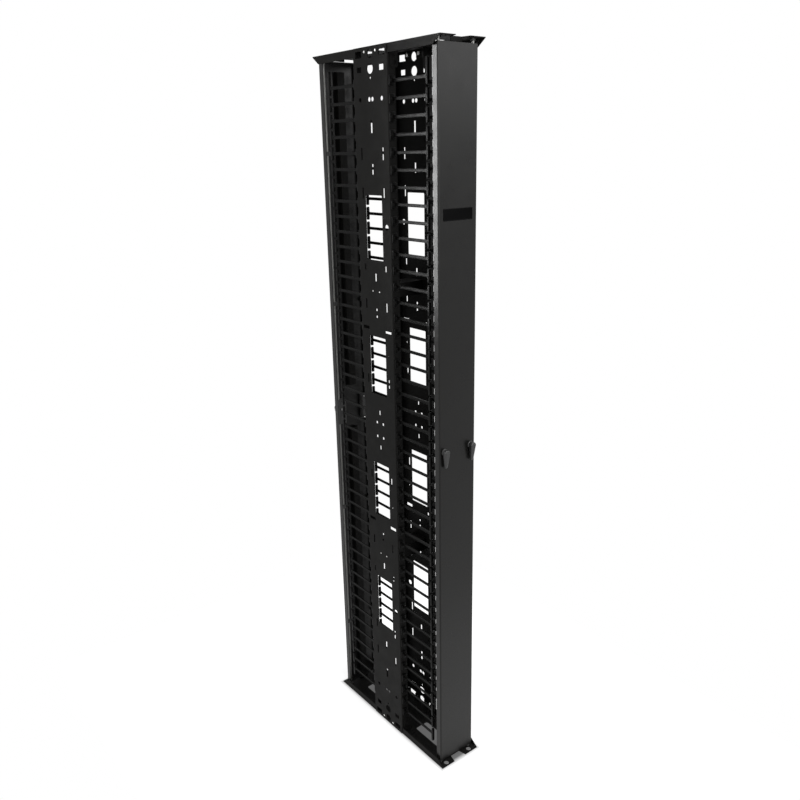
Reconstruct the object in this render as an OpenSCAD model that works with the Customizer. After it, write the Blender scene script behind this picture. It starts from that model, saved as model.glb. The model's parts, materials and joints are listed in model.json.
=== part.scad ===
// Double-sided vertical cable manager that stands between two equipment racks.
// The origin is the middle of the footprint at floor level. The front door faces -Y, +Z is up
// and +X is to the right of someone who faces the front door.

/* [Frame] */
// Overall width over the side plates
width = 152.4; // [150:0.1:200]
// Overall depth over the floor tabs
depth = 558.8; // [550:0.1:640]
// Height in rack units
rack_units = 48; // [46:1:52]
// Height of one rack unit
unit = 44.45; // [43:0.05:46]

/* [Pans] */
// Sheet thickness of the base pan and the top pan
pan_sheet = 2; // [1.5:0.1:2.5]
// Height of the pans' side flanges
pan_flange = 22; // [18:1:24]
// Length of the slope at each end of a side flange
pan_slope = 28; // [20:1:40]
// Width of the notch between two tabs, at their tips
notch_front = 48; // [40:1:56]
// Width of that notch at its back
notch_back = 36; // [24:1:38]
// Depth of the notch
notch_depth = 25.4; // [22:0.1:27]
// Height of the lip that is folded up at the back of the notch
lip_height = 12; // [6:1:12]
// Diameter of the anchor holes in the tabs
anchor_hole = 16; // [10:1:16]
// Distance between the two anchor holes of one end
anchor_spacing = 96; // [92:1:98]
// Distance of the anchor holes from the tabs' tips
anchor_inset = 12.4; // [12:0.1:13]
// Width of the cable cut-outs
cutout_width = 50; // [30:1:70]
// Length of the cable cut-outs behind each door
cutout_length = 112; // [80:1:116]
// Distance of those cut-outs' centres from the middle
cutout_centre = 140; // [138:1:144]
// Length of the cut-out in the middle of the top pan
middle_cutout_length = 120; // [60:1:130]
// Corner radius of the cut-outs
cutout_radius = 8; // [4:1:12]

/* [Side plates] */
// Sheet thickness of the side plates and the cross braces
plate_sheet = 2; // [1.5:0.1:2.5]
// Depth of a side plate over its flanges
plate_depth = 152.4; // [150:0.1:156]
// Width of a side plate's flanges
plate_flange = 26; // [24:1:30]
// Outer radius of the side plates' bends
plate_bend = 3; // [2.6:0.1:4]
// Gap between a side plate's flange and a pan's flange
flange_gap = 2; // [1:0.5:4]
// Width of a window
window_width = 76; // [50:1:76]
// Height of a window in rack units
window_units = 4; // [3:1:4]
// Spacing of the windows in rack units
window_pitch = 9; // [9:1:9]
// Corner radius of the windows
window_radius = 3; // [1:0.5:8]
// Diameter of the holes that bolt the plate to a rack
rack_hole = 12; // [8:1:13]
// Distance between the two columns of those holes
rack_hole_spacing = 96; // [92:1:98]
// Distance of those holes from the plate's ends
rack_hole_inset = 130; // [126:1:134]

/* [Cross braces] */
// Depth of a cross brace
brace_depth = 60; // [50:1:70]
// Height of a cross brace
brace_height = 40; // [30:1:44]
// Distance of a cross brace from mid-height, in rack units
brace_units = 9.5; // [9.5:0.05:9.6]
// Distance between the two rivets of one end
brace_rivet_spacing = 30; // [20:1:34]

/* [Fingers] */
// Distance between a finger's tip and the back of the closed door
finger_clearance = 21; // [20:0.1:40]
// Distance of a finger's web from the side plate's outer face
finger_inset = 15.2; // [14.6:0.1:16]
// Thickness of a finger's web
finger_web = 4; // [3:0.5:5]
// Height of a finger's web
finger_height = 8.5; // [6:0.5:9]
// Fillet radius at a finger's root
root_fillet = 5.5; // [3:0.5:5.5]
// Gap between the heads of two fingers
head_gap = 5; // [3:0.5:12]
// Depth of a finger's head
head_depth = 8; // [6:0.5:10]
// Width of a finger's head
head_width = 7; // [5:0.5:8]
// Fillet radius between a finger's web and its head
head_fillet = 5; // [2:0.5:8]
// Extra length of the top finger's head
top_head_extra = 25; // [0:1:28]
// Extra length of the bottom finger's head
bottom_head_extra = 7; // [0:1:20]
// Width of a finger's foot
foot_width = 18; // [16:0.5:20]
// Height of a finger's foot
foot_height = 20; // [20:1:26]
// Thickness of a finger's foot
foot_thick = 5; // [3:0.5:6]
// Corner radius of a finger's foot
foot_radius = 3; // [1:0.5:4]
// Diameter of the peg that holds a finger in its flange hole
peg_diameter = 6.8; // [4:0.1:7]
// Distance of the peg from the finger's web
peg_offset = 7.5; // [6.5:0.1:8]

/* [Doors] */
// Width of a door
door_width = 133; // [128:1:134]
// Depth of a door
door_depth = 20; // [19:0.5:22]
// Sheet thickness of a door
door_sheet = 1.5; // [1.2:0.1:1.8]
// Distance of a door's face from the tabs' tips
door_setback = 17.4; // [17:0.1:18]
// Gap between a door and the overall bottom or top
door_gap = 14; // [14:0.5:16]
// Bend radius of a door's long edges
door_bend = 4; // [3:0.5:5]
// Corner radius of a door's outline
door_corner = 5; // [4:0.5:8]
// Width of the bare badge plate
badge_width = 100; // [60:1:110]
// Height of the bare badge plate
badge_height = 31; // [20:1:40]
// Thickness of the bare badge plate
badge_thick = 1.5; // [1:0.1:2]
// Height of the badge plate's centre above mid-height
badge_rise = 646; // [500:1:700]
// Corner radius of the bare badge plate
badge_radius = 2; // [1:0.5:6]

/* [Latches] */
// Diameter of the lock rods
rod_diameter = 8; // [7:0.5:8]
// Distance of a rod's axis from the door's side
rod_inset = 9.5; // [9:0.1:10]
// Radial clearance of every shaft in its bore
running_gap = 0.05; // [0.02:0.01:0.09]
// Thickness of the keepers that the rods' tips stand in
keeper_thick = 5; // [4:0.5:6]
// Outer diameter of a keeper
keeper_diameter = 14; // [12:0.5:14]
// Gap between a rod's tip and the pan
rod_tip_gap = 0.5; // [0.3:0.1:1]
// Gear module of the pinions and racks
gear_module = 1; // [1:0.01:1.02]
// Number of teeth on a pinion
gear_teeth = 16; // [16:1:16]
// Play between a pinion's and a rack's teeth
backlash = 0.2; // [0.15:0.01:0.3]
// Width of the pinions and racks
gear_width = 8; // [6:0.5:9]
// Diameter of a lever's spindle
spindle_diameter = 12; // [11:0.5:12]
// Length of a lever below its spindle
lever_length = 47; // [40:1:47]
// Distance that a lever stands out from the door
lever_proud = 17; // [14:0.5:17]
// Radius of a lever's round head
lever_head = 9; // [8:0.5:10]
// Radius of a lever's tip
lever_tip = 5; // [4:0.5:6]
// Thickness of the round base under a lever
latch_base = 4; // [3:0.5:5]
// Wall thickness of the gear cases
case_wall = 1.8; // [1.2:0.1:2]

/* [Hidden] */
$fn = 48;

// Frame
height = rack_units * unit;
mid = height / 2;
half_width = width / 2;
half_depth = depth / 2;
pan_half = half_width - plate_sheet;
plate_half = plate_depth / 2;
window_height = window_units * unit;
brace_level = brace_units * unit;
brace_rivet = 4;
brace_rivet_head = 8;
brace_rivet_proud = 1.5;
bolt_diameter = 6;
bolt_head = 10;
bolt_head_thick = 3;
bolt_level = 12;
bolt_spacing = 49;
fastener_gap = 0.1;
cut = 1;

// The side plates' holes. A hole is [y, height, width, length]; a length of 0 makes it round.
// Heights of end_holes are from the nearest end, those of unit_holes are from mid-height.
end_holes = [[0, 17.5, 24, 0], [-51, 17.5, 28, 17], [51, 17.5, 28, 17],
             [0, 54.5, 26, 0], [-49, 54.5, 20, 14], [49, 54.5, 20, 14],
             [0, 77, 6, 0], [-7, rack_hole_inset, 12, 0], [7, rack_hole_inset, 12, 0],
             [-rack_hole_spacing / 2, rack_hole_inset, rack_hole, 0],
             [rack_hole_spacing / 2, rack_hole_inset, rack_hole, 0],
             [0, 199, 8, 32], [-48, 269, 6, 32], [48, 269, 6, 32], [0, 309, 7, 27]];
unit_holes = [[-48, 15.6, 6, 30], [48, 15.6, 6, 30], [-57, 13.6, 16, 0],
              [-48, 11, 6, 18], [48, 11, 6, 18], [0, 10.4, 7, 22],
              [-48, 8.6, 6, 28], [48, 8.6, 6, 28], [0, 8.3, 7, 7], [0, 7.85, 7, 7],
              [-52.5, 7, 28, 10], [52.5, 7, 28, 10], [-50, 3.5, 6, 26], [50, 3.5, 6, 26],
              [0, 1.25, 6, 14], [15, 0.5, 8, 8], [-15, 0.5, 8, 8], [-52, 5.4, 5, 0]];
plate_flange_start = pan_flange + flange_gap;

// Fingers
finger_count = rack_units - 3;
finger_reach = half_depth - door_setback - door_depth - finger_clearance - plate_half;
finger_x = half_width - finger_inset;
head_length = unit - head_gap;
foot_shift = 4;
peg_length = plate_sheet + 1;
bracket_width = 25;
bracket_gap = 4.2;
bracket_inner = pan_half - pan_sheet - bracket_gap - bracket_width;
bracket_rise = 56;
bracket_reach = 22;
bracket_radius = 8;
bracket_hole = 12;

// Doors, in a frame whose origin is at mid-height on the door's face, with +Y into the door
door_height = height - 2 * door_gap;
door_face = half_depth - door_setback;
rod_y = door_depth / 2;
rod_radius = rod_diameter / 2;
rod_x = door_width / 2 - rod_inset;
rod_tip = mid - pan_sheet - rod_tip_gap;
pitch_radius = gear_module * gear_teeth / 2;
pivot_x = rod_x - pitch_radius;
stiffener_half = 20;
stiffener_depth = 12;
stiffener_brim = 8;
stiffener_sheet = 1.2;
stiffener_ends = 26;
guide_width = 15;
guide_height = 12;
guide_depth = 14.5;
guide_levels = [350, 800];
slot_spread = 0.8;
relief_gap = 0.1;

// Gears
pressure_angle = 20;
rack_addendum = 0.9 * gear_module;
dedendum = 1.25 * gear_module;
base_radius = pitch_radius * cos(pressure_angle);
outer_radius = pitch_radius + rack_addendum;
root_radius = pitch_radius - dedendum;
tooth_pitch = PI * gear_module;
flank_steps = 4;
max_roll = sqrt(pow(outer_radius / base_radius, 2) - 1) * 180 / PI;
pitch_half_angle = (tooth_pitch / 2 - backlash) / (2 * pitch_radius) * 180 / PI;
involute_angle = tan(pressure_angle) * 180 / PI - pressure_angle;
base_half_angle = pitch_half_angle + involute_angle;

// Racks and gear cases, measured from a pinion's axis
rack_teeth = 9;
rack_back = 5;
rack_start = -2.5 * tooth_pitch;
rack_end = rack_start + (rack_teeth + 1) * tooth_pitch;
block_height = 6;
foot_drop = 36;
foot_bar = 10;
case_room = 2;
case_top = rack_end + block_height + case_room;
case_bottom = foot_drop + foot_bar + case_room;
case_half = pitch_radius + rack_back + 1;
case_depth = 16.5;
cover_thick = 2;
case_corner = 3;
journal_radius = 4;
square_drive = 8;
lever_back = latch_base + 0.2;
drive_length = 7;
lever_tip_proud = 9.5;
latch_base_radius = 10;

function turned(p, a) = [p[0] * cos(a) - p[1] * sin(a), p[0] * sin(a) + p[1] * cos(a)];
function involute(roll) = base_radius * [cos(roll) + roll * PI / 180 * sin(roll),
                                         sin(roll) - roll * PI / 180 * cos(roll)];
function flank() = [for (i = [0:flank_steps]) turned(involute(max_roll * i / flank_steps),
                                                    -base_half_angle)];
function mirrored(points) = [for (i = [len(points) - 1:-1:0]) [points[i][0], -points[i][1]]];
function tooth() = concat([turned([root_radius, 0], -base_half_angle)], flank(),
                          mirrored(flank()), [turned([root_radius, 0], base_half_angle)]);
function gear_points() = [for (k = [0:gear_teeth - 1]) for (p = tooth())
                          turned(p, k * 360 / gear_teeth)];
function rack_half(x) = tooth_pitch / 4 + x * tan(pressure_angle);
function rack_tooth(z) = [[dedendum, z - rack_half(dedendum)],
                          [-rack_addendum, z - rack_half(-rack_addendum)],
                          [-rack_addendum, z + rack_half(-rack_addendum)],
                          [dedendum, z + rack_half(dedendum)]];
function rack_points(low, high) = concat(
    [[rack_back, high], [rack_back, low], [dedendum, low]],
    [for (k = [0:rack_teeth - 1]) for (p = rack_tooth(rack_start + (k + 1) * tooth_pitch)) p],
    [[dedendum, high]]);

// A rectangle with round corners, centred
module rounded_rect(w, h, r) {
    square([w - 2 * r, h], center = true);
    square([w, h - 2 * r], center = true);
    for (x = [-1, 1], y = [-1, 1])
        translate([x * (w / 2 - r), y * (h / 2 - r)]) circle(r);
}

// A profile drawn in Y and Z, thickened along +X
module along_x(t) {
    rotate([90, 0, 90]) linear_extrude(t) children();
}

// A profile drawn in X and Z, thickened along +Y
module along_y(t) {
    translate([0, t, 0]) rotate([90, 0, 0]) linear_extrude(t) children();
}

// A bar along X from x1 to x2
module bar_x(x1, x2, r) {
    translate([x1, 0, 0]) rotate([0, 90, 0]) cylinder(r = r, h = x2 - x1);
}

// A bar along Y from y1 to y2
module bar_y(y1, y2, r) {
    translate([0, y1, 0]) rotate([-90, 0, 0]) cylinder(r = r, h = y2 - y1);
}

module plate_hole(h) {
    if (h[3] == 0) circle(d = h[2]);
    else square([h[2], h[3]], center = true);
}

// The holes of both ends of a side plate, drawn in Y and Z
module end_hole_pattern() {
    for (h = end_holes, level = [h[1], height - h[1]])
        translate([h[0], level]) plate_hole(h);
    for (y = [-1, 1], level = [bolt_level, height - bolt_level])
        translate([y * bolt_spacing / 2, level]) circle(d = bolt_diameter + 2 * fastener_gap);
}

module unit_hole_pattern() {
    for (h = unit_holes, s = [-1, 1])
        translate([h[0], mid + s * h[1] * unit]) plate_hole(h);
    for (y = [-1, 1], s = [-1, 1])
        translate([y * brace_rivet_spacing / 2, mid + s * brace_level])
            circle(d = brace_rivet + 2 * fastener_gap);
}

module windows() {
    for (i = [-1.5:1:1.5])
        translate([0, mid + i * window_pitch * unit])
            rounded_rect(window_width, window_height, window_radius);
}

// ---- Frame ----

module pan_outline() {
    tip = half_depth;
    back = half_depth - notch_depth;
    polygon([[-pan_half, -tip], [-notch_front / 2, -tip], [-notch_back / 2, -back],
             [notch_back / 2, -back], [notch_front / 2, -tip], [pan_half, -tip],
             [pan_half, tip], [notch_front / 2, tip], [notch_back / 2, back],
             [-notch_back / 2, back], [-notch_front / 2, tip], [-pan_half, tip]]);
}

module pan_side_profile() {
    polygon([[-half_depth, 0], [half_depth, 0], [half_depth, pan_sheet],
             [half_depth - pan_slope, pan_flange], [pan_slope - half_depth, pan_flange],
             [-half_depth, pan_sheet]]);
}

module pan(middle_cutout) {
    linear_extrude(pan_sheet) difference() {
        pan_outline();
        for (y = [-1, 1]) {
            translate([0, y * cutout_centre])
                rounded_rect(cutout_width, cutout_length, cutout_radius);
            for (x = [-1, 1])
                translate([x * anchor_spacing / 2, y * (half_depth - anchor_inset)])
                    circle(d = anchor_hole);
        }
        if (middle_cutout) rounded_rect(cutout_width, middle_cutout_length, cutout_radius);
    }
    for (x = [-pan_half, pan_half - pan_sheet])
        translate([x, 0, 0]) along_x(pan_sheet) difference() {
            pan_side_profile();
            end_hole_pattern();
        }
    lip_y = half_depth - notch_depth - pan_sheet;
    for (y = [-lip_y - pan_sheet, lip_y])
        translate([-notch_back / 2, y, 0]) cube([notch_back, pan_sheet, lip_height]);
}

module base_pan() {
    color("dimgray") pan(false);
}

module top_pan() {
    color("dimgray") translate([0, 0, height]) mirror([0, 0, 1]) pan(true);
}

// One quarter of a bend at the outer corner of the left plate, y is -1 or 1
module plate_corner(y) {
    bend_x = plate_bend - half_width;
    bend_y = y * (plate_half - plate_bend);
    intersection() {
        translate([bend_x, bend_y]) difference() {
            circle(plate_bend);
            circle(plate_bend - plate_sheet);
        }
        translate([bend_x - plate_bend, min(bend_y, bend_y + y * plate_bend)])
            square(plate_bend);
    }
}

module side_plate() {
    flange_length = height - 2 * plate_flange_start;
    web_half = plate_half - plate_bend;
    translate([-half_width, 0, 0]) along_x(plate_sheet) difference() {
        translate([-web_half, 0]) square([2 * web_half, height]);
        end_hole_pattern();
        unit_hole_pattern();
        windows();
    }
    for (y = [-1, 1]) {
        translate([0, 0, plate_flange_start]) linear_extrude(flange_length) plate_corner(y);
        translate([0, min(y * plate_half, y * (plate_half - plate_sheet)), 0])
            along_y(plate_sheet) difference() {
                translate([plate_bend - half_width, plate_flange_start])
                    square([plate_flange - plate_bend, flange_length]);
                for (i = [0:finger_count - 1])
                    translate([-finger_x - peg_offset, finger_level(i)])
                        circle(d = peg_diameter + 2 * fastener_gap);
            }
    }
}

function finger_level(i) = mid + (i - (finger_count - 1) / 2) * unit;

module left_side_plate() {
    color("dimgray") side_plate();
}

module right_side_plate() {
    color("dimgray") rotate([0, 0, 180]) side_plate();
}

// A riveted channel between the plates, with a closed end against each plate
module cross_brace() {
    translate([-pan_half, 0, 0]) along_x(2 * pan_half) difference() {
        square([brace_depth, brace_height], center = true);
        translate([0, -plate_sheet])
            square([brace_depth - 2 * plate_sheet, brace_height], center = true);
    }
    for (x = [-pan_half, pan_half - plate_sheet])
        translate([x, 0, 0]) along_x(plate_sheet) difference() {
            square([brace_depth, brace_height], center = true);
            for (y = [-1, 1])
                translate([y * brace_rivet_spacing / 2, 0])
                    circle(d = brace_rivet + 2 * fastener_gap);
        }
}

module cross_braces() {
    color("dimgray") for (s = [-1, 1]) translate([0, 0, mid + s * brace_level]) cross_brace();
}

module brace_rivets() {
    seat = pan_half - plate_sheet;
    color("silver")
        for (m = [0, 1], y = [-1, 1], s = [-1, 1])
            mirror([m, 0, 0])
                translate([0, y * brace_rivet_spacing / 2, mid + s * brace_level]) {
                    bar_x(seat, half_width, brace_rivet / 2);
                    bar_x(seat - brace_rivet_proud, seat, brace_rivet_head / 2);
                }
}

module pan_bolts() {
    seat = pan_half - pan_sheet;
    color("silver")
        for (m = [0, 1], y = [-1, 1], level = [bolt_level, height - bolt_level])
            mirror([m, 0, 0]) translate([0, y * bolt_spacing / 2, level]) {
                bar_x(seat, half_width, bolt_diameter / 2);
                bar_x(seat - bolt_head_thick, seat, bolt_head / 2);
            }
}

// An angle that ties a side plate's flange to a pan, at the front left of the base
module flange_bracket() {
    translate([-bracket_inner - bracket_width, -plate_half - plate_sheet, pan_sheet]) {
        along_y(plate_sheet) difference() {
            union() {
                translate([bracket_width / 2, bracket_rise / 2])
                    rounded_rect(bracket_width, bracket_rise, bracket_radius);
                square([bracket_width, bracket_rise / 2]);
            }
            translate([bracket_width / 2, bracket_rise - bracket_width / 2])
                circle(d = bracket_hole);
        }
        translate([0, -bracket_reach, 0]) cube([bracket_width, bracket_reach, plate_sheet]);
    }
}

module flange_brackets() {
    color("dimgray")
        for (x = [0, 1], y = [0, 1], z = [0, 1])
            mirror([x, 0, 0]) mirror([0, y, 0])
                translate([0, 0, z * height]) mirror([0, 0, z]) flange_bracket();
}

// ---- Fingers ----

// A finger's web, with both its fillets, drawn outward from the foot
module finger_web_profile(head_start) {
    translate([foot_thick, -finger_height / 2])
        square([head_start - foot_thick, finger_height]);
    for (s = [-1, 1]) {
        fillet_corner(foot_thick, s * finger_height / 2, root_fillet, 1, s);
        fillet_corner(head_start, s * finger_height / 2, head_fillet, -1, s);
    }
}

// The fillet in the corner at (x, z); sx and sz point into the open side
module fillet_corner(x, z, r, sx, sz) {
    difference() {
        translate([min(x, x + sx * r), min(z, z + sz * r)]) square(r);
        translate([x + sx * r, z + sz * r]) circle(r);
    }
}

// A finger's head, rounded at both ends, from low to high
module finger_head_profile(head_start, low, high) {
    r = head_depth / 2;
    translate([head_start, low + r]) square([head_depth, high - low - 2 * r]);
    for (z = [low + r, high - r])
        translate([head_start + r, z]) circle(r);
}

// One finger that stands out along +Y from a flange at y = 0, its web at x = 0
module finger(low, high) {
    head_start = finger_reach - head_depth;
    translate([-finger_web / 2, 0, 0]) along_x(finger_web) finger_web_profile(head_start);
    translate([-head_width / 2, 0, 0]) along_x(head_width)
        finger_head_profile(head_start, low, high);
    along_y(foot_thick) translate([foot_shift, 0])
        rounded_rect(foot_width, foot_height, foot_radius);
    translate([peg_offset, 0, 0]) bar_y(-peg_length, 0, peg_diameter / 2);
}

// The column at the rear right; the others mirror it
module finger_column() {
    for (i = [0:finger_count - 1]) {
        low = -head_length / 2 - (i == 0 ? bottom_head_extra : 0);
        high = head_length / 2 + (i == finger_count - 1 ? top_head_extra : 0);
        translate([finger_x, plate_half, finger_level(i)]) finger(low, high);
    }
}

module front_left_fingers() {
    color("black") mirror([1, 0, 0]) mirror([0, 1, 0]) finger_column();
}

module front_right_fingers() {
    color("black") mirror([0, 1, 0]) finger_column();
}

module rear_left_fingers() {
    color("black") mirror([1, 0, 0]) finger_column();
}

module rear_right_fingers() {
    color("black") finger_column();
}

// ---- Doors ----

// Puts a front door's part in its place
module at_front() {
    translate([0, -door_face, mid]) children();
}

// Puts the same part on the rear door
module at_rear() {
    rotate([0, 0, 180]) at_front() children();
}

// The keepers on the base pan, for the front door. The hinge side, at +X, is a closed bearing,
// and the latch side is open towards the front, so that the rod swings out with the door.
module base_keepers() {
    bore = rod_radius + running_gap;
    translate([rod_x, rod_y, pan_sheet - mid]) difference() {
        cylinder(d = keeper_diameter, h = keeper_thick);
        translate([0, 0, -cut]) cylinder(r = bore, h = keeper_thick + 2 * cut);
    }
    translate([-rod_x, rod_y, pan_sheet - mid]) difference() {
        cylinder(d = keeper_diameter, h = keeper_thick);
        translate([0, 0, -cut]) cylinder(r = bore, h = keeper_thick + 2 * cut);
        translate([-bore, -keeper_diameter, -cut])
            cube([2 * bore + slot_spread, keeper_diameter, keeper_thick + 2 * cut]);
    }
}

module keepers() {
    color("darkslategray") for (z = [0, 1]) mirror([0, 0, z]) base_keepers();
}

module front_keepers() {
    at_front() keepers();
}

module rear_keepers() {
    at_rear() keepers();
}

// The solid outline of a door, shrunk by inset, with round long edges and corners
module door_block(inset, back) {
    w = door_width - 2 * inset;
    h = door_height - 2 * inset;
    deep = 2 * door_depth;
    intersection() {
        translate([0, inset + deep / 2, -h / 2]) linear_extrude(h)
            rounded_rect(w, deep, door_bend - inset);
        along_y(back) rounded_rect(w, h, door_corner - inset);
    }
}

module door_skin() {
    bore = rod_radius + running_gap;
    difference() {
        door_block(0, door_depth);
        door_block(door_sheet, door_depth + cut);
        for (x = [-1, 1]) {
            translate([x * pivot_x, 0, 0])
                bar_y(-cut, door_sheet + cut, spindle_diameter / 2 + running_gap);
            translate([x * rod_x, rod_y, -door_height])
                cylinder(r = bore, h = 2 * door_height);
        }
    }
}

// A hat section on the back of the door's face, above the latches; the lower one mirrors it
module door_stiffener() {
    start = case_bottom + stiffener_ends;
    inner = stiffener_half - stiffener_brim;
    top = stiffener_depth - stiffener_sheet;
    translate([0, door_sheet, start])
        linear_extrude(door_height / 2 - stiffener_ends - start) {
            for (x = [-1, 1]) {
                translate([x * (inner + stiffener_brim / 2), stiffener_sheet / 2])
                    square([stiffener_brim, stiffener_sheet], center = true);
                translate([x * (inner - stiffener_sheet / 2), stiffener_depth / 2])
                    square([stiffener_sheet, stiffener_depth], center = true);
            }
            translate([-inner, top]) square([2 * inner, stiffener_sheet]);
        }
}

module door_stiffeners() {
    color("dimgray") for (z = [0, 1]) mirror([0, 0, z]) door_stiffener();
}

// What a piece inside the door leaves free for the bend along the door's right edge
module bend_relief() {
    r = door_bend - door_sheet + relief_gap;
    translate([0, 0, -door_height / 2])
        linear_extrude(door_height)
            fillet_corner(door_width / 2 - door_sheet, door_sheet, r, -1, 1);
}

module rod_guides() {
    bore = rod_radius + running_gap;
    color("darkslategray")
        for (m = [0, 1], z = [-1, 1], level = guide_levels)
            mirror([m, 0, 0]) difference() {
                translate([rod_x - guide_width / 2, door_sheet, z * level - guide_height / 2])
                    cube([guide_width, guide_depth, guide_height]);
                translate([rod_x, rod_y, z * level - guide_height])
                    cylinder(r = bore, h = 2 * guide_height);
                bend_relief();
            }
}

// The round bases on the door's face that the levers turn on
module latch_bases() {
    color("black")
        for (x = [-1, 1])
            translate([x * pivot_x, 0, 0]) difference() {
                bar_y(-latch_base, 0, latch_base_radius);
                bar_y(-latch_base - cut, cut, spindle_diameter / 2 + running_gap);
            }
}

// The outline of a gear case, shrunk by inset, drawn in X and Z from the pinion's axis
module case_outline(inset) {
    tall = case_top + case_bottom + 2 * (case_wall - inset);
    translate([0, (case_top - case_bottom) / 2])
        rounded_rect(2 * (case_half + case_wall - inset), tall, case_corner - inset);
}

// A cup that closes over the pinion and the racks on the back of the door's face
module gear_case() {
    bore = rod_radius + running_gap;
    difference() {
        translate([0, door_sheet, 0])
            along_y(case_depth + cover_thick - door_sheet) case_outline(0);
        along_y(case_depth) case_outline(case_wall);
        translate([pitch_radius, rod_y, -case_bottom - 2 * case_wall])
            cylinder(r = bore, h = case_top + case_bottom + 4 * case_wall);
        bar_y(0, case_depth + 2 * cover_thick, journal_radius + running_gap);
    }
}

module gear_cases() {
    color("darkslategray")
        for (m = [0, 1]) mirror([m, 0, 0]) difference() {
            translate([pivot_x, 0, 0]) gear_case();
            bend_relief();
        }
}

// ---- Latches: one lever, pinion and pair of rods, drawn for the right side ----

// A lever's outline, t thick: a large and a small round end with their common tangents
module lever_prism(t) {
    drop = lever_length - lever_tip;
    tilt = asin((lever_head - lever_tip) / drop);
    along_y(t) circle(lever_head);
    along_y(t) translate([0, -drop]) circle(lever_tip);
    along_y(t) polygon([[lever_head * cos(tilt), -lever_head * sin(tilt)],
                        [lever_tip * cos(tilt), -drop - lever_tip * sin(tilt)],
                        [-lever_tip * cos(tilt), -drop - lever_tip * sin(tilt)],
                        [-lever_head * cos(tilt), -lever_head * sin(tilt)]]);
}

// The side of a lever: full depth over its head, then sloping to its tip
module lever_side() {
    polygon([[-lever_back, lever_head + cut], [-lever_proud, lever_head + cut],
             [-lever_proud, -lever_head], [-lever_tip_proud, -lever_length - cut],
             [-lever_back, -lever_length - cut]]);
}

module lever() {
    color("black") difference() {
        intersection() {
            translate([0, -lever_proud, 0]) lever_prism(lever_proud);
            translate([-lever_head, 0, 0]) along_x(2 * lever_head) lever_side();
        }
        translate([-square_drive / 2, -lever_back - drive_length, -square_drive / 2])
            cube([square_drive, drive_length + cut, square_drive]);
    }
}

module pinion() {
    color("silver") {
        translate([0, rod_y - gear_width / 2, 0]) along_y(gear_width) polygon(gear_points());
        bar_y(-lever_back, case_depth, spindle_diameter / 2);
        bar_y(case_depth, case_depth + cover_thick, journal_radius);
        translate([-square_drive / 2, -lever_back - drive_length, -square_drive / 2])
            cube([square_drive, drive_length, square_drive]);
    }
}

// A rack whose teeth point to -X, from low to high, its pitch line at the pitch radius
module rack(low, high) {
    translate([pitch_radius, rod_y - gear_width / 2, 0])
        along_y(gear_width) polygon(rack_points(low, high));
}

module upper_rod() {
    block_side = pitch_radius - rod_radius;
    color("silver") {
        rack(rack_start, rack_end);
        translate([block_side, rod_y - gear_width / 2, rack_end])
            cube([rod_radius + rack_back, gear_width, block_height]);
        translate([pitch_radius, rod_y, rack_end + block_height])
            cylinder(r = rod_radius, h = rod_tip - rack_end - block_height);
    }
}

module lower_rod() {
    foot_low = -foot_drop - foot_bar;
    color("silver") {
        rotate([0, 180, 0]) rack(rack_start, foot_drop);
        translate([-pitch_radius - rack_back, rod_y - gear_width / 2, foot_low])
            cube([2 * pitch_radius + rack_back + rod_radius, gear_width, foot_bar]);
        translate([pitch_radius, rod_y, -rod_tip])
            cylinder(r = rod_radius, h = rod_tip + foot_low);
    }
}

// side is 1 for the right of a door and -1 for its left, seen from the door's front
module at_latch(side) {
    mirror([side < 0 ? 1 : 0, 0, 0]) translate([pivot_x, 0, 0]) children();
}

// ---- Drawing ----

base_pan();
top_pan();
left_side_plate();
right_side_plate();
cross_braces();
brace_rivets();
pan_bolts();
flange_brackets();
front_left_fingers();
front_right_fingers();
rear_left_fingers();
rear_right_fingers();
front_keepers();
rear_keepers();
front_door();
front_door_stiffeners();
front_door_badge();
front_rod_guides();
front_latch_bases();
front_gear_cases();
front_left_lever();
front_left_pinion();
front_left_upper_rod();
front_left_lower_rod();
front_right_lever();
front_right_pinion();
front_right_upper_rod();
front_right_lower_rod();
rear_door();
rear_door_stiffeners();
rear_rod_guides();
rear_latch_bases();
rear_gear_cases();
rear_left_lever();
rear_left_pinion();
rear_left_upper_rod();
rear_left_lower_rod();
rear_right_lever();
rear_right_pinion();
rear_right_upper_rod();
rear_right_lower_rod();

module front_door() {
    color("dimgray") at_front() door_skin();
}

module rear_door() {
    color("dimgray") at_rear() door_skin();
}

module front_door_stiffeners() {
    at_front() door_stiffeners();
}

module rear_door_stiffeners() {
    at_rear() door_stiffeners();
}

module front_door_badge() {
    color("black") at_front() translate([0, -badge_thick, badge_rise])
        along_y(badge_thick) rounded_rect(badge_width, badge_height, badge_radius);
}

module front_rod_guides() {
    at_front() rod_guides();
}

module rear_rod_guides() {
    at_rear() rod_guides();
}

module front_latch_bases() {
    at_front() latch_bases();
}

module rear_latch_bases() {
    at_rear() latch_bases();
}

module front_gear_cases() {
    at_front() gear_cases();
}

module rear_gear_cases() {
    at_rear() gear_cases();
}

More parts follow.
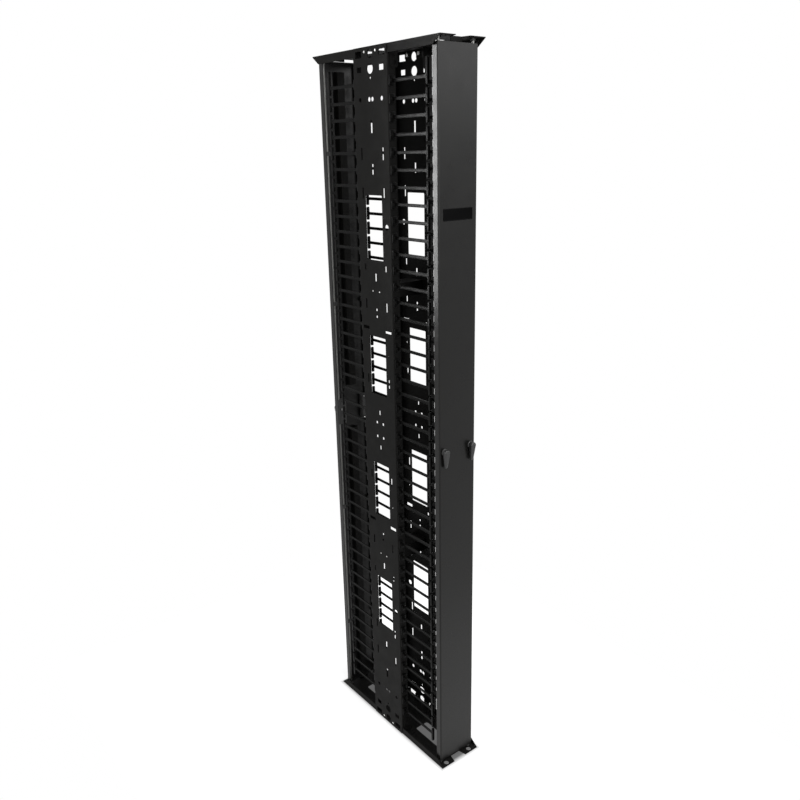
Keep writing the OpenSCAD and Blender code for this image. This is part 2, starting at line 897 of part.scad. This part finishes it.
// Left and right are those of someone who faces the front door, also on the rear door
module front_left_lever() { at_front() at_latch(-1) lever(); }
module front_left_pinion() { at_front() at_latch(-1) pinion(); }
module front_left_upper_rod() { at_front() at_latch(-1) upper_rod(); }
module front_left_lower_rod() { at_front() at_latch(-1) lower_rod(); }
module front_right_lever() { at_front() at_latch(1) lever(); }
module front_right_pinion() { at_front() at_latch(1) pinion(); }
module front_right_upper_rod() { at_front() at_latch(1) upper_rod(); }
module front_right_lower_rod() { at_front() at_latch(1) lower_rod(); }
module rear_left_lever() { at_rear() at_latch(1) lever(); }
module rear_left_pinion() { at_rear() at_latch(1) pinion(); }
module rear_left_upper_rod() { at_rear() at_latch(1) upper_rod(); }
module rear_left_lower_rod() { at_rear() at_latch(1) lower_rod(); }
module rear_right_lever() { at_rear() at_latch(-1) lever(); }
module rear_right_pinion() { at_rear() at_latch(-1) pinion(); }
module rear_right_upper_rod() { at_rear() at_latch(-1) upper_rod(); }
module rear_right_lower_rod() { at_rear() at_latch(-1) lower_rod(); }
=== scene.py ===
"""A double-sided vertical cable manager: finishes, moulded parts and fasteners around its CAD frame."""
import json
import math

import bmesh
import bpy
from mathutils import Matrix, Vector

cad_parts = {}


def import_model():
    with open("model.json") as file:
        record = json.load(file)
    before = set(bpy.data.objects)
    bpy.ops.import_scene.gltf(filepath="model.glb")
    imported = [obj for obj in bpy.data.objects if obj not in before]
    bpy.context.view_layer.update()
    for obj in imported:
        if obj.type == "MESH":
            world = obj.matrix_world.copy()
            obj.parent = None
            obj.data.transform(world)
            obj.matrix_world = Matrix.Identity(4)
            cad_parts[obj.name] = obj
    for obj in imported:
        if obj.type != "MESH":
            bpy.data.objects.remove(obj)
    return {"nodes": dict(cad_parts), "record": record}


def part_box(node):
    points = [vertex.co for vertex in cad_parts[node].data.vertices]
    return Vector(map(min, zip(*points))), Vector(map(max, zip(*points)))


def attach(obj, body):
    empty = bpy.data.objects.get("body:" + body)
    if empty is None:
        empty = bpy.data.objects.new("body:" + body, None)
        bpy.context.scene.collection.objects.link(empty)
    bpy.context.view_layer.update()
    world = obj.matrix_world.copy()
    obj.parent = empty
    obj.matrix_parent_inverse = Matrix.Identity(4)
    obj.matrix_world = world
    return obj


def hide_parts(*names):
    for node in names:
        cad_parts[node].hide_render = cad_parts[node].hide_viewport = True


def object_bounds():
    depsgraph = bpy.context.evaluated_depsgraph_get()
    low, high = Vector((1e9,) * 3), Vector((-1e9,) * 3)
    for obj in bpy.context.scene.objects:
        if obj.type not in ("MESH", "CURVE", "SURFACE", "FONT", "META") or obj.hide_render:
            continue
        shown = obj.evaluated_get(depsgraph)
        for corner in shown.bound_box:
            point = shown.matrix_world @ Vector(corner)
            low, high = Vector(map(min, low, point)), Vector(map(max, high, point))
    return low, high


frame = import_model()
cad_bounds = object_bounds()

MM = 0.001
UNIT = 44.45 * MM
SIDES = {"left": -1, "right": 1}
DOORS = {"front": -1, "rear": 1}

# ---------------------------------------------------------------- node helpers


def new_material(name):
    """An empty node material and its output node."""
    material = bpy.data.materials.new(name)
    material.use_nodes = True
    material.node_tree.nodes.clear()
    output = material.node_tree.nodes.new("ShaderNodeOutputMaterial")
    return material, output


def add_node(tree, kind, **settings):
    """A node of that kind. A setting named after an input sets its value, others are attributes."""
    node = tree.nodes.new(kind)
    for key, value in settings.items():
        if hasattr(node, key):
            setattr(node, key, value)
        else:
            node.inputs[key.replace("_", " ").title()].default_value = value
    return node


def noise(tree, coords, scale, detail=2.0, roughness=0.5):
    """Noise of so many grains a metre, as a 0 to 1 output."""
    node = add_node(tree, "ShaderNodeTexNoise", scale=scale, detail=detail, roughness=roughness)
    tree.links.new(coords, node.inputs["Vector"])
    return node.outputs["Fac"]


def remap(tree, value, low, high, start=0.3, end=0.7):
    """value, spread from low to high as it goes from start to end."""
    node = add_node(tree, "ShaderNodeMapRange")
    for key, number in (("From Min", start), ("From Max", end), ("To Min", low), ("To Max", high)):
        node.inputs[key].default_value = number
    tree.links.new(value, node.inputs["Value"])
    return node.outputs["Result"]


def blend_colours(tree, factor, first, second):
    node = add_node(tree, "ShaderNodeMix", data_type="RGBA")
    node.inputs["A"].default_value = (*first, 1)
    node.inputs["B"].default_value = (*second, 1)
    tree.links.new(factor, node.inputs["Factor"])
    return node.outputs["Result"]


def multiply(tree, first, second):
    node = add_node(tree, "ShaderNodeMath", operation="MULTIPLY")
    tree.links.new(first, node.inputs[0])
    tree.links.new(second, node.inputs[1])
    return node.outputs[0]


def bump(tree, height, strength, distance, normal=None):
    node = add_node(tree, "ShaderNodeBump", strength=strength, distance=distance)
    tree.links.new(height, node.inputs["Height"])
    if normal is not None:
        tree.links.new(normal, node.inputs["Normal"])
    return node.outputs["Normal"]


def object_coords(tree, stretch=(1, 1, 1)):
    source = add_node(tree, "ShaderNodeTexCoord").outputs["Object"]
    mapping = add_node(tree, "ShaderNodeMapping")
    mapping.inputs["Scale"].default_value = stretch
    tree.links.new(source, mapping.inputs["Vector"])
    return mapping.outputs["Vector"]


def surface(name, dark, light, rough, grain, patch=4.0, metallic=0.0, edge=0.0, coat=0.0,
            stretch=(1, 1, 1), specular=0.5):
    """A finish with patchy colour, uneven roughness and a grain.

    rough is (low, high); grain is (grains a metre, strength, depth); edge rounds sharp edges.
    """
    material, output = new_material(name)
    tree = material.node_tree
    coords = object_coords(tree, stretch)
    shader = add_node(tree, "ShaderNodeBsdfPrincipled")
    shader.inputs["Metallic"].default_value = metallic
    shader.inputs["Specular IOR Level"].default_value = specular
    shader.inputs["Coat Weight"].default_value = coat
    shader.inputs["Coat Roughness"].default_value = 0.08
    patches = noise(tree, coords, patch, 4.0, 0.6)
    grains = noise(tree, coords, grain[0], 3.0, 0.6)
    tree.links.new(blend_colours(tree, remap(tree, patches, 0, 1), dark, light),
                   shader.inputs["Base Color"])
    worn = multiply(tree, remap(tree, noise(tree, coords, patch * 7, 3.0), *rough),
                    remap(tree, grains, 0.9, 1.1))
    tree.links.new(worn, shader.inputs["Roughness"])
    normal = None
    if edge > 0:
        rounded = add_node(tree, "ShaderNodeBevel", samples=4)
        rounded.inputs["Radius"].default_value = edge
        normal = rounded.outputs["Normal"]
    tree.links.new(bump(tree, grains, grain[1], grain[2], normal), shader.inputs["Normal"])
    tree.links.new(shader.outputs["BSDF"], output.inputs["Surface"])
    return material


FINISHES = {
    "powder_coat": surface("powder_coat", (0.0046, 0.0045, 0.0042), (0.0062, 0.0061, 0.0057),
                           (0.58, 0.66), (900, 0.25, 0.00012), edge=0.0006, specular=0.09),
    "finger_plastic": surface("finger_plastic", (0.0026, 0.0026, 0.0025), (0.004, 0.004, 0.0038),
                              (0.3, 0.4), (1600, 0.3, 0.00008), patch=9, specular=0.07),
    "lever_plastic": surface("lever_plastic", (0.012, 0.012, 0.012), (0.02, 0.02, 0.02),
                             (0.3, 0.42), (1800, 0.35, 0.0001), patch=30),
    "nylon": surface("nylon", (0.03, 0.03, 0.03), (0.042, 0.042, 0.041),
                     (0.5, 0.6), (1400, 0.2, 0.0001), patch=25, edge=0.0004),
    "zinc_plate": surface("zinc_plate", (0.62, 0.62, 0.6), (0.78, 0.78, 0.77), (0.22, 0.36),
                          (500, 0.2, 0.00005), patch=30, metallic=1.0, stretch=(1, 1, 0.08)),
    "gear_steel": surface("gear_steel", (0.36, 0.36, 0.37), (0.5, 0.5, 0.5), (0.28, 0.4),
                          (900, 0.2, 0.00005), patch=40, metallic=1.0, stretch=(1, 0.1, 1)),
    "badge_gloss": surface("badge_gloss", (0.0012, 0.0012, 0.0013), (0.002, 0.002, 0.0021),
                           (0.1, 0.16), (200, 0.03, 0.00005), patch=20, specular=0.04),
}

# ---------------------------------------------------------------- mesh helpers


def make_object(name, build, slot, body, replaced=(), smooth=True):
    """A piece whose mesh is made by build(bm), with its finish, its body and what it replaces."""
    bm = bmesh.new()
    build(bm)
    bmesh.ops.recalc_face_normals(bm, faces=bm.faces)
    mesh = bpy.data.meshes.new(name)
    bm.to_mesh(mesh)
    bm.free()
    piece = bpy.data.objects.new(name, mesh)
    bpy.context.scene.collection.objects.link(piece)
    mesh.materials.append(FINISHES[slot])
    if smooth:
        mesh.shade_smooth()
        mesh.set_sharp_from_angle(angle=math.radians(32))
    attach(piece, body)
    if replaced:
        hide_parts(*replaced)
    return piece


def arc(centre, radius, start, end, steps):
    """Points on an arc, angles in degrees, both ends included."""
    angles = [math.radians(start + (end - start) * i / steps) for i in range(steps + 1)]
    return [(centre[0] + radius * math.cos(a), centre[1] + radius * math.sin(a)) for a in angles]


def loft(bm, rings, place):
    """A closed solid through rings of points, each (x, y, z) put in place by a matrix."""
    rows = [[bm.verts.new(place @ Vector(p)) for p in ring] for ring in rings]
    count = len(rows[0])
    for low, high in zip(rows, rows[1:]):
        for i in range(count):
            j = (i + 1) % count
            bm.faces.new((low[i], low[j], high[j], high[i]))
    bm.faces.new(rows[0][::-1])
    bm.faces.new(rows[-1])


def inset_ring(outline, amount, depth):
    """The outline (u, v) moved inward by amount and set at that depth, as (depth, u, v)."""
    count = len(outline)
    ring = []
    for i, (u, v) in enumerate(outline):
        before, after = outline[i - 1], outline[(i + 1) % count]
        along = Vector((after[0] - before[0], after[1] - before[1])).normalized()
        ring.append((depth, u - along.y * amount, v + along.x * amount))
    return ring


def slab(bm, outline, low, high, edge, place):
    """A plate with that outline, anticlockwise, from low to high, with rounded edges."""
    steps = ((edge, 0), (edge * 0.3, edge * 0.3), (0, edge))
    rings = [inset_ring(outline, i, low + d) for i, d in steps]
    rings += [inset_ring(outline, i, high - d) for i, d in reversed(steps)]
    loft(bm, rings, place)


def round_outline(width, height, radius, steps=4):
    """A rectangle with round corners, centred, anticlockwise."""
    points = []
    corners = ((1, -1, -90), (1, 1, 0), (-1, 1, 90), (-1, -1, 180))
    for sx, sy, start in corners:
        centre = (sx * (width / 2 - radius), sy * (height / 2 - radius))
        points += arc(centre, radius, start, start + 90, steps)
    return points


def turned_part(bm, profile, place, segments=24):
    """A solid of revolution about +X through profile points (x, radius); place sets it down."""
    rings = []
    for x, radius in profile:
        angles = [2 * math.pi * i / segments for i in range(segments)]
        rings.append([(x, radius * math.cos(a), radius * math.sin(a)) for a in angles])
    loft(bm, rings, place)


def pointing(origin, direction):
    """A matrix that puts +X along direction, at origin."""
    turn = Vector((1, 0, 0)).rotation_difference(Vector(direction))
    return Matrix.Translation(origin) @ turn.to_matrix().to_4x4()


def screw(bm, origin, direction, radius, height, recess=0.45):
    """A pan-head screw with a round head and a hexagon recess, seated at origin."""
    place = pointing(origin, direction)
    profile = ((0, radius), (height * 0.45, radius), (height * 0.8, radius * 0.86),
               (height, radius * 0.6))
    rings = []
    segments = 24
    angles = [2 * math.pi * i / segments for i in range(segments)]
    for x, r in profile:
        rings.append([(x, r * math.cos(a), r * math.sin(a)) for a in angles])
    for x in (height, height * 0.4):
        ring = []
        for a in angles:
            r = radius * recess * math.cos(math.pi / 6) / math.cos(a % (math.pi / 3) - math.pi / 6)
            ring.append((x, r * math.cos(a), r * math.sin(a)))
        rings.append(ring)
    loft(bm, rings, place)


# ---------------------------------------------------------------- the fingers

FINGER = {"web": 4 * MM, "height": 8.5 * MM, "root": 5.5 * MM, "head_width": 7 * MM,
          "head_depth": 8 * MM, "head_fillet": 5 * MM, "foot_width": 18 * MM,
          "foot_height": 26 * MM, "foot_thick": 5 * MM, "foot_shift": 4 * MM,
          "peg_offset": 7.5 * MM, "top_extra": 25 * MM, "bottom_extra": 7 * MM,
          "head_gap": 5 * MM, "pocket": 1.0 * MM, "edge": 0.7 * MM}


def web_outline(reach):
    """A finger's web from its foot to its head, flared at both ends, drawn in (u, z)."""
    half = FINGER["height"] / 2
    start, end = FINGER["foot_thick"] * 0.9, reach - FINGER["head_depth"] * 0.6
    foot, head = FINGER["foot_thick"], reach - FINGER["head_depth"]
    root, fillet = FINGER["root"], FINGER["head_fillet"]
    top = [(end, half + fillet)]
    top += arc((head - fillet, half + fillet), fillet, 0, -90, 5)
    top += arc((foot + root, half + root), root, -90, -180, 5)
    top += [(start, half + root)]
    bottom = [(u, -z) for u, z in reversed(top)]
    return top + bottom


def pocket_outline(reach):
    """The shallow pocket in each side of a web."""
    low = FINGER["foot_thick"] + FINGER["root"] * 1.2
    high = reach - FINGER["head_depth"] - FINGER["head_fillet"] * 1.2
    half = FINGER["height"] / 2 - 1.5 * MM
    right = arc((high - half, 0), half, -90, 90, 6)
    left = arc((low + half, 0), half, 90, 270, 6)
    return right + left


def head_outline(reach, low, high):
    """A finger's head, round at both ends, drawn in (u, z)."""
    radius = FINGER["head_depth"] / 2
    middle = reach - radius
    return arc((middle, high - radius), radius, 0, 180, 10) + arc((middle, low + radius), radius,
                                                                 180, 360, 10)


def finger(bm, origin, sx, sy, reach, low, high):
    """One finger at origin on its flange; u runs outward along sy, x away from the middle is sx."""
    place = Matrix.Translation(origin) @ Matrix.Diagonal((sx, sy, 1, 1))
    web, head = FINGER["web"] / 2, FINGER["head_width"] / 2
    core = web - FINGER["pocket"]
    edge = FINGER["edge"]
    outline = web_outline(reach)
    pocket = pocket_outline(reach)
    web_with_pockets(bm, outline, pocket, web, core, edge, place)
    slab(bm, head_outline(reach, low, high), -head, head, edge * 1.6, place)
    foot = round_outline(FINGER["foot_width"], FINGER["foot_height"], 3 * MM)
    shift = Matrix.Translation((FINGER["foot_shift"], 0, 0))
    upright = Matrix(((0, 1, 0, 0), (1, 0, 0, 0), (0, 0, 1, 0), (0, 0, 0, 1)))
    slab(bm, foot, 0, FINGER["foot_thick"], edge * 1.4, place @ shift @ upright)


def web_with_pockets(bm, outline, pocket, half, core, edge, place):
    """The web as a plate whose two sides carry a sunk pocket."""
    for side in (-1, 1):
        rim = [bm.verts.new(place @ Vector(p)) for p in inset_ring(outline, edge, side * half)]
        lip = [bm.verts.new(place @ Vector((side * half, u, z))) for u, z in pocket]
        floor = [bm.verts.new(place @ Vector(p)) for p in inset_ring(pocket, edge, side * core)]
        loops = [bm.edges.new((ring[i], ring[(i + 1) % len(ring)])) for ring in (rim, lip)
                 for i in range(len(ring))]
        bmesh.ops.triangle_fill(bm, edges=loops, use_beauty=True)
        for i in range(len(lip)):
            j = (i + 1) % len(lip)
            bm.faces.new((lip[i], lip[j], floor[j], floor[i]))
        bm.faces.new(floor)
        if side < 0:
            first = rim
    middle = [[bm.verts.new(place @ Vector((x, u, z))) for u, z in outline]
              for x in (edge - half, half - edge)]
    rows = [first, *middle, rim]
    for low, high in zip(rows, rows[1:]):
        for i in range(len(low)):
            j = (i + 1) % len(low)
            bm.faces.new((low[i], low[j], high[j], high[i]))


def finger_column(door, side):
    node = f"{door}_{side}_fingers"
    low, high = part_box(node)
    sx, sy = SIDES[side], DOORS[door]
    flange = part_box(f"{side}_side_plate")[1 if sy > 0 else 0].y
    tip = high.y if sy > 0 else low.y
    reach = abs(tip) - abs(flange)
    head = UNIT - FINGER["head_gap"]
    bottom = low.z + FINGER["bottom_extra"] + head / 2
    count = round((high.z - FINGER["top_extra"] - head / 2 - bottom) / UNIT) + 1
    middle = high.x if sx > 0 else low.x
    web_x = middle - sx * (FINGER["foot_width"] / 2 + FINGER["foot_shift"])

    def build(bm):
        for i in range(count):
            below = head / 2 + (FINGER["bottom_extra"] if i == 0 else 0)
            above = head / 2 + (FINGER["top_extra"] if i == count - 1 else 0)
            origin = Vector((web_x, flange, bottom + i * UNIT))
            finger(bm, origin, sx, sy, reach, -below, above)

    make_object(f"{node}_moulding", build, "finger_plastic", "root", [node])

    def build_screws(bm):
        for i in range(count):
            x = web_x + sx * FINGER["peg_offset"]
            seat = Vector((x, flange + sy * FINGER["foot_thick"], bottom + i * UNIT))
            screw(bm, seat, (0, sy, 0), 3.2 * MM, 2.0 * MM)

    make_object(f"{node}_screws", build_screws, "powder_coat", "root")


# ---------------------------------------------------------------- doors and latches


def lever(door, side):
    """The moulded lever: a round head over the spindle, a waist and a rounded, lifted tip."""
    node = f"{door}_{side}_lever"
    low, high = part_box(node)
    sy = DOORS[door]
    base, proud = (high.y, low.y) if sy < 0 else (low.y, high.y)
    radius = (high.x - low.x) / 2
    centre = Vector(((low.x + high.x) / 2, base, high.z - radius))
    drop = high.z - radius - low.z
    depth = abs(proud - base)
    tip = 5 * MM

    def outline(shrink, lift):
        big, small = radius - shrink, tip - shrink
        length = drop - tip
        tilt = math.degrees(math.asin((radius - tip) / length))
        points = arc((0, 0), big, -tilt, 180 + tilt, 22)
        points += arc((0, -length), small, 180 + tilt, 360 - tilt, 12)
        return [(x, lift(z), z) for x, z in points]

    def level(share):
        """A depth that falls from the head to the tip."""
        def lift(z):
            fall = min(max((-z - radius) / (drop - radius), 0), 1)
            return share * depth * (1 - 0.55 * fall ** 1.2)
        return lift

    def build(bm):
        place = Matrix.Translation(centre) @ Matrix.Diagonal((1, sy, 1, 1))
        steps = ((0.5, 0.0), (0.0, 0.05), (0.0, 0.75), (0.35, 0.86), (1.0, 0.94), (2.2, 1.0))
        rings = [outline(shrink * MM, level(share)) for shrink, share in steps]
        loft(bm, rings, place)

    make_object(f"{node}_moulding", build, "lever_plastic", node, [node])


def latch_bases(door):
    node = f"{door}_latch_bases"
    low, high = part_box(node)
    sy = DOORS[door]
    face, proud = (high.y, low.y) if sy < 0 else (low.y, high.y)
    radius = (high.z - low.z) / 2
    thick = abs(proud - face)

    def build(bm):
        for x in (low.x + radius, high.x - radius):
            place = pointing((x, face, (low.z + high.z) / 2), (0, sy, 0))
            profile = ((0, radius * 0.98), (0.4 * MM, radius), (thick * 0.45, radius),
                       (thick * 0.75, radius - 0.9 * MM), (thick * 0.95, radius - 2.4 * MM),
                       (thick, radius - 3.2 * MM), (thick, 6.1 * MM), (0, 6.1 * MM))
            ring_part(bm, profile, place)

    make_object(f"{node}_moulding", build, "lever_plastic", f"{door}_door", [node])


def ring_part(bm, profile, place, segments=40):
    """A ring of revolution about +X, closed through its bore."""
    rows = []
    for x, radius in profile:
        angles = [2 * math.pi * i / segments for i in range(segments)]
        rows.append([bm.verts.new(place @ Vector((x, radius * math.cos(a), radius * math.sin(a))))
                     for a in angles])
    for k, row in enumerate(rows):
        following = rows[(k + 1) % len(rows)]
        for i in range(segments):
            j = (i + 1) % segments
            bm.faces.new((row[i], row[j], following[j], following[i]))


def badge():
    """The bare plate: a glossy face inside a narrow raised rim."""
    low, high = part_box("front_door_badge")
    centre = (low + high) / 2
    width, height, thick = high.x - low.x, high.z - low.z, high.y - low.y
    place = Matrix.Translation((centre.x, high.y, centre.z)) @ Matrix(
        ((0, 1, 0, 0), (-1, 0, 0, 0), (0, 0, 1, 0), (0, 0, 0, 1)))

    def build(bm):
        steps = ((0, 0), (0, thick * 0.6), (0.3 * MM, thick * 0.9), (0.6 * MM, thick),
                 (1.5 * MM, thick), (1.8 * MM, thick * 0.8), (2.2 * MM, thick * 0.75))
        rings = []
        for inset, depth in steps:
            outline = round_outline(width - 2 * inset, height - 2 * inset, 2.3 * MM - inset, 5)
            rings.append([(depth, u, v) for u, v in outline])
        loft(bm, rings, place)

    make_object("front_door_badge_plate", build, "badge_gloss", "front_door",
                ["front_door_badge"])


def case_screws(door):
    """Screws on the back of the gear cases."""
    sy = DOORS[door]
    low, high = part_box(f"{door}_gear_cases")
    back = low.y if sy > 0 else high.y
    guide_low, guide_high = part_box(f"{door}_rod_guides")
    guide_back = guide_low.y if sy > 0 else guide_high.y

    def build(bm):
        for side in SIDES.values():
            pivot = side * (max(abs(low.x), abs(high.x)) - 15.8 * MM)
            for dz in (low.z + 5 * MM, high.z - 5 * MM):
                screw(bm, Vector((pivot - side * 9 * MM, back, dz)), (0, -sy, 0), 2.2 * MM,
                      1.4 * MM)

    make_object(f"{door}_case_screws", build, "zinc_plate", f"{door}_door")


def bracket_bolts():
    """Button-head bolts through the small angles between the plates' flanges and the pans."""
    low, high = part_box("flange_brackets")
    plate_low, plate_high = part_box("left_side_plate")
    thick = 2 * MM

    def build(bm):
        for sx in SIDES.values():
            x = sx * (high.x - 12.5 * MM)
            for sy in DOORS.values():
                face = sy * (plate_high.y + thick)
                for z in (low.z + 28 * MM, high.z - 28 * MM):
                    screw(bm, Vector((x, face, z)), (0, sy, 0), 4.5 * MM, 2.6 * MM)

    make_object("bracket_bolts", build, "powder_coat", "root")


# ---------------------------------------------------------------- stage, lights and camera


def look_matrix(position, yaw, pitch, roll):
    """A camera's matrix: yaw turns from +Y towards +X, pitch is up, roll is anticlockwise."""
    ahead = Vector((math.sin(yaw) * math.cos(pitch), math.cos(yaw) * math.cos(pitch),
                    math.sin(pitch)))
    right = Vector((math.cos(yaw), -math.sin(yaw), 0))
    up = right.cross(ahead)
    rolled_right = right * math.cos(roll) + up * math.sin(roll)
    rolled_up = up * math.cos(roll) - right * math.sin(roll)
    turn = Matrix((rolled_right, rolled_up, -ahead)).transposed()
    return Matrix.Translation(position) @ turn.to_4x4()


def camera():
    data = bpy.data.cameras.new("camera")
    data.sensor_width = 36
    data.lens = 35.12
    data.clip_end = 60
    eye = bpy.data.objects.new("camera", data)
    bpy.context.scene.collection.objects.link(eye)
    eye.matrix_world = look_matrix(Vector((-1.3923, -1.7916, 1.8715)), 0.6613, -0.3091, -0.0207)
    bpy.context.scene.camera = eye


def area_light(name, position, target, size, power, spread=180):
    data = bpy.data.lights.new(name, "AREA")
    data.shape = "RECTANGLE"
    data.size, data.size_y = size
    data.energy = power
    data.spread = math.radians(spread)
    lamp = bpy.data.objects.new(name, data)
    bpy.context.scene.collection.objects.link(lamp)
    direction = Vector(target) - Vector(position)
    lamp.rotation_euler = direction.to_track_quat("-Z", "Y").to_euler()
    lamp.location = position


def background_rays(tree):
    """1 for the rays that see the background: camera, glossy and transmission rays."""
    path = add_node(tree, "ShaderNodeLightPath")
    seen = path.outputs["Is Camera Ray"]
    for ray in ("Is Glossy Ray", "Is Transmission Ray"):
        either = add_node(tree, "ShaderNodeMath", operation="MAXIMUM")
        tree.links.new(seen, either.inputs[0])
        tree.links.new(path.outputs[ray], either.inputs[1])
        seen = either.outputs[0]
    return seen


def footprint_distance(tree, half_x, half_y):
    """How far a point of the floor lies outside a centred rectangle, negative inside it."""
    source = add_node(tree, "ShaderNodeTexCoord").outputs["Object"]
    mirrored = add_node(tree, "ShaderNodeVectorMath", operation="ABSOLUTE")
    tree.links.new(source, mirrored.inputs[0])
    past = add_node(tree, "ShaderNodeVectorMath", operation="SUBTRACT")
    tree.links.new(mirrored.outputs[0], past.inputs[0])
    past.inputs[1].default_value = (half_x, half_y, 0)
    parts = add_node(tree, "ShaderNodeSeparateXYZ")
    tree.links.new(past.outputs[0], parts.inputs[0])
    furthest = add_node(tree, "ShaderNodeMath", operation="MAXIMUM")
    tree.links.new(parts.outputs["X"], furthest.inputs[0])
    tree.links.new(parts.outputs["Y"], furthest.inputs[1])
    return furthest.outputs[0]


def floor():
    """A pale floor: white as background, with the object's shadow, and painted shade beneath the object: a
    darker colour and a weaker glow inside its footprint.
    """
    bm = bmesh.new()
    bmesh.ops.create_circle(bm, cap_ends=True, segments=96, radius=9)
    mesh = bpy.data.meshes.new("floor")
    bm.to_mesh(mesh)
    bm.free()
    ground = bpy.data.objects.new("floor", mesh)
    bpy.context.scene.collection.objects.link(ground)
    ground.location.z = -0.0005
    material, output = new_material("floor")
    tree = material.node_tree
    low, high = cad_bounds
    away = footprint_distance(tree, abs(high[0]), abs(high[1]))
    shade = add_node(tree, "ShaderNodeBsdfDiffuse")
    tree.links.new(blend_colours(tree, remap(tree, away, 0, 1, 0.6, 1.5), (0.85, 0.84, 0.82),
                                 (0.10, 0.10, 0.10)), shade.inputs["Color"])
    seen = add_node(tree, "ShaderNodeBsdfDiffuse")
    # Painted shade: the colour seen by camera and glossy rays is 0.08 inside the object's footprint and 0.5
    # around it, fading out further away.
    seen_colour_painted_shade = multiply(tree, remap(tree, away, 0.08, 0.5, -0.01, 0.01), remap(tree, away, 1, 0, 0.1, 0.8))
    tree.links.new(seen_colour_painted_shade, seen.inputs["Color"])
    glow = add_node(tree, "ShaderNodeEmission")
    # Painted shade: the glow is 0.1 inside the object's footprint and 0.68 around it, rising to white further
    # away.
    glow_dimmed_as_painted_shade = remap(tree, away, 0.1, 0.68, -0.01, 0.01)
    beyond = remap(tree, away, 0, 0.32, 0.05, 0.5)
    total = add_node(tree, "ShaderNodeMath", operation="ADD")
    tree.links.new(glow_dimmed_as_painted_shade, total.inputs[0])
    tree.links.new(beyond, total.inputs[1])
    tree.links.new(total.outputs[0], glow.inputs["Strength"])
    both = add_node(tree, "ShaderNodeAddShader")
    tree.links.new(seen.outputs[0], both.inputs[0])
    tree.links.new(glow.outputs[0], both.inputs[1])
    mix = add_node(tree, "ShaderNodeMixShader")
    tree.links.new(background_rays(tree), mix.inputs[0])
    tree.links.new(shade.outputs[0], mix.inputs[1])
    tree.links.new(both.outputs[0], mix.inputs[2])
    tree.links.new(mix.outputs[0], output.inputs["Surface"])
    mesh.materials.append(material)


def world():
    """White behind the object, and a dim even studio around it."""
    sky = bpy.data.worlds.new("studio")
    sky.use_nodes = True
    tree = sky.node_tree
    tree.nodes.clear()
    output = tree.nodes.new("ShaderNodeOutputWorld")
    dim = add_node(tree, "ShaderNodeBackground")
    dim.inputs["Color"].default_value = (0.03, 0.03, 0.029, 1)
    white = add_node(tree, "ShaderNodeBackground")
    white.inputs["Color"].default_value = (1, 1, 1, 1)
    mix = add_node(tree, "ShaderNodeMixShader")
    tree.links.new(background_rays(tree), mix.inputs[0])
    tree.links.new(dim.outputs[0], mix.inputs[1])
    tree.links.new(white.outputs[0], mix.inputs[2])
    tree.links.new(mix.outputs[0], output.inputs["Surface"])
    bpy.context.scene.world = sky


def lights():
    """Soft boxes: a strip behind on the left, walls on the left, in front and front right, a top."""
    area_light("strip_back_left", (-0.56, 0.315, 1.95), (-0.0665, -0.35, 1.95), (0.22, 1.15), 0.66, spread=28)
    area_light("wall_left", (-3.4, -0.2, 2.0), (0, 0, 1.1), (2.0, 2.4), 50)
    area_light("wall_front", (-0.3, -3.8, 2.4), (0, 0, 1.0), (2.0, 2.2), 85)
    area_light("wall_front_right", (2.4, -2.75, 3.1), (0, -0.2, 1.9), (2.4, 2.0), 39)
    area_light("overhead", (0, 0, 4.8), (0, 0, 0), (2.4, 2.4), 150)


# ---------------------------------------------------------------- build

bpy.context.scene.view_settings.view_transform = "Standard"
satin_coat = surface("powder_coat_satin", (0.0052, 0.0051, 0.0048), (0.0066, 0.0065, 0.0061),
                     (0.28, 0.34), (900, 0.18, 0.0001), edge=0.0006, specular=0.22)
dull_zinc = surface("dull_zinc", (0.17, 0.17, 0.165), (0.26, 0.26, 0.25), (0.4, 0.5),
                    (700, 0.2, 0.00005), patch=12, metallic=1.0, stretch=(1, 1, 0.08))
for item in frame["record"]["subparts"]:
    carried = frame["nodes"][item["node"]]
    carried.data.materials.clear()
    finish = FINISHES[item["material_slot"]]
    if item["node"] in ("front_door", "rear_door"):
        finish = satin_coat
    elif item["node"].endswith("_rod"):
        finish = dull_zinc
    carried.data.materials.append(finish)

camera()
world()
floor()
lights()
for door_name in DOORS:
    for side_name in SIDES:
        finger_column(door_name, side_name)
        lever(door_name, side_name)
    latch_bases(door_name)
    case_screws(door_name)
badge()
bracket_bolts()
